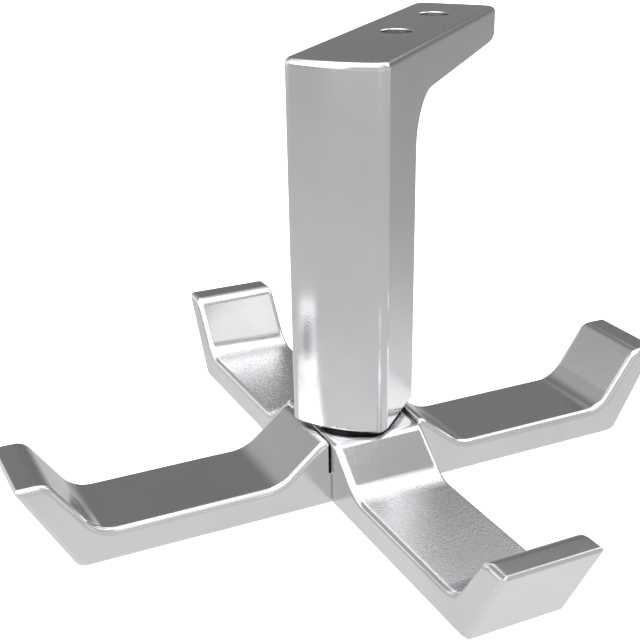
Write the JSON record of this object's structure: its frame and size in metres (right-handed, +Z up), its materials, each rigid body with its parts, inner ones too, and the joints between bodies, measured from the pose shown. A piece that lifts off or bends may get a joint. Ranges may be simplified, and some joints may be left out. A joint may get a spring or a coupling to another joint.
{
  "type": "swivel ceiling hook",
  "caption": "Cast metal angle bracket screwed up to a ceiling, carrying a turning cross of flat-bottomed double hooks for hanging clothes or bags.",
  "frame": {"origin": "where the swivel axis meets the ceiling face, on top of the post", "axes": "+Z up, out of the ceiling face along the swivel axis; +Y along the foot, from the post towards the end with the screw holes; +X to the right, seen from the post's bowed front"},
  "size_m": [0.0876, 0.098, 0.0655],
  "materials": {
    "satin_casting": "satin plated die casting",
    "turned_steel": "bright zinc plate",
    "washer_plastic": "black nylon"
  },
  "bodies": {
    "bracket": {"bracket": "satin_casting", "shoulder_screw": "turned_steel", "friction_washer": "washer_plastic", "disc_spring": "turned_steel"},
    "cross": {"upper_double_hook": "satin_casting", "lower_double_hook": "satin_casting"}
  },
  "joints": [
    {"name": "swivel", "type": "hinge", "parent": "bracket", "child": "cross", "pos_m": [0, 0, -0.0548], "axis": [0, 0, 1], "continuous": true}
  ]
}
